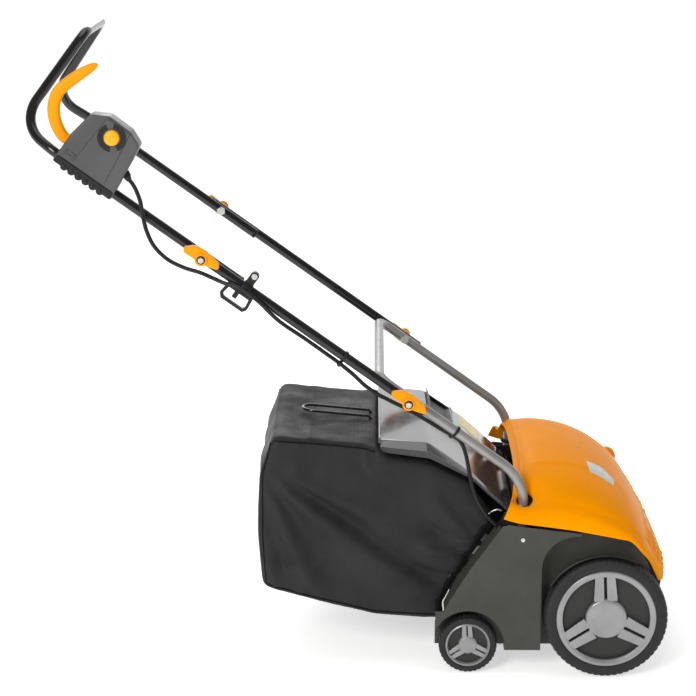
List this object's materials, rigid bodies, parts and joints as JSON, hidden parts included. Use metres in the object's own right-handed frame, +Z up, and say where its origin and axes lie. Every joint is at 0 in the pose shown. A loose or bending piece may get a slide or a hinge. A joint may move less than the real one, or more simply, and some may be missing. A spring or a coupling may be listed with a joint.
{
  "type": "lawn dethatcher",
  "caption": "Corded electric lawn dethatcher: bladed rotor under an orange hood, big front wheels, folding tube handle with switch box, rear fabric collector bag.",
  "frame": {"origin": "centre of the machine's footprint box on the ground, under the middle of its length and width", "axes": "+X forwards towards the hood, +Y to the machine's left, +Z up"},
  "size_m": [1.0895, 0.56, 1.0888],
  "materials": {
    "chassis_plastic": "fine grain",
    "panel_plastic": "fine grain",
    "hood_orange": "gloss",
    "bumper_plastic": "satin",
    "zinc_steel": "zinc plated",
    "motor_alloy": "dark cast",
    "belt_rubber": "matt",
    "pulley_alloy": "turned",
    "pulley_plastic": "moulded",
    "knife_steel": "ground",
    "spacer_steel": "dark",
    "silver_tube": "satin silver",
    "black_tube": "gloss black",
    "tyre_rubber": "matt",
    "wheel_plastic": "moulded",
    "wheel_silver": "metallic silver",
    "lever_plastic": "moulded",
    "control_orange": "satin",
    "button_yellow": "gloss",
    "box_plastic": "fine grain",
    "inlet_plastic": "moulded",
    "cable_rubber": "satin",
    "tie_plastic": "satin",
    "flap_plastic": "glossy grey",
    "bag_fabric": "woven",
    "bag_wire": "gloss black"
  },
  "bodies": {
    "chassis": {"chassis_shell": "chassis_plastic", "side_panel_right": "panel_plastic", "side_panel_left": "panel_plastic", "hood": "hood_orange", "front_bumper": "bumper_plastic", "panel_screws": "zinc_steel", "motor_housing": "motor_alloy", "drive_belt": "belt_rubber", "rotor_bearings": "zinc_steel", "depth_plate": "zinc_steel", "rear_axles": "zinc_steel", "lower_handle": "silver_tube", "lower_handle_bolts": "zinc_steel", "lock_bolts_lower": "zinc_steel", "flap_rod": "zinc_steel", "cable_lower": "cable_rubber", "cable_tie_lower": "tie_plastic"},
    "rotor": {"rotor_shaft": "zinc_steel", "rotor_knives": "knife_steel", "rotor_spacers": "spacer_steel", "rotor_pulley": "pulley_plastic"},
    "motor_rotor": {"motor_shaft": "zinc_steel", "motor_pulley": "pulley_alloy"},
    "front_axle": {"front_axle": "zinc_steel", "depth_lever": "lever_plastic", "depth_knob": "control_orange"},
    "front_wheel_right": {"front_tyre_right": "tyre_rubber", "front_wheel_right": "wheel_plastic", "front_trim_right": "wheel_silver"},
    "front_wheel_left": {"front_tyre_left": "tyre_rubber", "front_wheel_left": "wheel_plastic", "front_trim_left": "wheel_silver"},
    "rear_wheel_right": {"rear_tyre_right": "tyre_rubber", "rear_wheel_right": "wheel_plastic", "rear_trim_right": "wheel_silver"},
    "rear_wheel_left": {"rear_tyre_left": "tyre_rubber", "rear_wheel_left": "wheel_plastic", "rear_trim_left": "wheel_silver"},
    "mid_handle": {"mid_tube_right": "black_tube", "mid_tube_left": "black_tube", "lock_bolts_upper": "zinc_steel", "cord_hook": "tie_plastic", "hook_screw": "zinc_steel", "cable_mid": "cable_rubber", "cable_tie_mid": "tie_plastic"},
    "upper_handle": {"upper_handle": "black_tube", "switch_box": "box_plastic", "switch_box_back": "box_plastic", "power_inlet": "inlet_plastic", "cable_top": "cable_rubber"},
    "start_button": {"start_button": "button_yellow"},
    "switch_lever": {"switch_lever": "control_orange"},
    "cam_lever_lower_right": {"cam_lever_lower_right": "control_orange"},
    "cam_lever_lower_left": {"cam_lever_lower_left": "control_orange"},
    "cam_lever_upper_right": {"cam_lever_upper_right": "control_orange"},
    "cam_lever_upper_left": {"cam_lever_upper_left": "control_orange"},
    "rear_flap": {"rear_flap": "flap_plastic"},
    "bag": {"bag": "bag_fabric", "bag_frame": "black_tube", "bag_handle": "bag_wire"}
  },
  "joints": [
    {"name": "rotor_spin", "type": "hinge", "parent": "chassis", "child": "rotor", "pos_m": [0.2828, 0, 0.077], "axis": [0, 1, 0], "continuous": true},
    {"name": "motor_spin", "type": "hinge", "parent": "chassis", "child": "motor_rotor", "pos_m": [0.3838, 0, 0.254], "axis": [0, 1, 0], "continuous": true},
    {"name": "depth_set", "type": "hinge", "parent": "chassis", "child": "front_axle", "pos_m": [0.41001, 0, 0.11184], "axis": [0, -1, 0], "range_deg": [0, 40]},
    {"name": "front_wheel_right_spin", "type": "hinge", "parent": "front_axle", "child": "front_wheel_right", "pos_m": [0.4288, -0.26, 0.105], "axis": [0, 1, 0], "continuous": true},
    {"name": "front_wheel_left_spin", "type": "hinge", "parent": "front_axle", "child": "front_wheel_left", "pos_m": [0.4288, 0.26, 0.105], "axis": [0, 1, 0], "continuous": true},
    {"name": "rear_wheel_right_spin", "type": "hinge", "parent": "chassis", "child": "rear_wheel_right", "pos_m": [0.1948, -0.249, 0.05], "axis": [0, 1, 0], "continuous": true},
    {"name": "rear_wheel_left_spin", "type": "hinge", "parent": "chassis", "child": "rear_wheel_left", "pos_m": [0.1948, 0.249, 0.05], "axis": [0, 1, 0], "continuous": true},
    {"name": "lower_fold", "type": "hinge", "parent": "chassis", "child": "mid_handle", "pos_m": [0.0908, 0, 0.477], "axis": [0, 1, 0], "range_deg": [0, 140]},
    {"name": "upper_fold", "type": "hinge", "parent": "mid_handle", "child": "upper_handle", "pos_m": [-0.25194, 0, 0.72148], "axis": [0, 1, 0], "range_deg": [-90, 0]},
    {"name": "button_press", "type": "slide", "parent": "upper_handle", "child": "start_button", "axis": [0, 1, 0], "range_m": [0, 0.004], "stiffness_N_per_m": 400, "springref_m": -0.002},
    {"name": "lever_squeeze", "type": "hinge", "parent": "upper_handle", "child": "switch_lever", "pos_m": [-0.45875, -0.223, 0.91199], "axis": [0, -1, 0], "range_deg": [0, 15], "stiffness_Nm_per_rad": 1.2, "springref_deg": -11.46},
    {"name": "cam_lever_lower_right_turn", "type": "hinge", "parent": "chassis", "child": "cam_lever_lower_right", "pos_m": [0.0908, -0.26, 0.477], "axis": [0, 1, 0], "range_deg": [0, 120]},
    {"name": "cam_lever_lower_left_turn", "type": "hinge", "parent": "chassis", "child": "cam_lever_lower_left", "pos_m": [0.0908, 0.26, 0.477], "axis": [0, 1, 0], "range_deg": [0, 120]},
    {"name": "cam_lever_upper_right_turn", "type": "hinge", "parent": "mid_handle", "child": "cam_lever_upper_right", "pos_m": [-0.25194, -0.26, 0.72148], "axis": [0, 1, 0], "range_deg": [0, 120]},
    {"name": "cam_lever_upper_left_turn", "type": "hinge", "parent": "mid_handle", "child": "cam_lever_upper_left", "pos_m": [-0.25194, 0.26, 0.72148], "axis": [0, 1, 0], "range_deg": [0, 120]},
    {"name": "flap_hinge", "type": "hinge", "parent": "chassis", "child": "rear_flap", "pos_m": [0.2708, 0, 0.262], "axis": [0, 1, 0], "range_deg": [0, 28]},
    {"name": "bag_lift_off", "type": "slide", "parent": "chassis", "child": "bag", "axis": [-1, 0, 0], "range_m": [0, 0.25]}
  ],
  "couplings": [
    {"joint": "motor_spin", "follows": "rotor_spin", "ratio": 1.875}
  ]
}
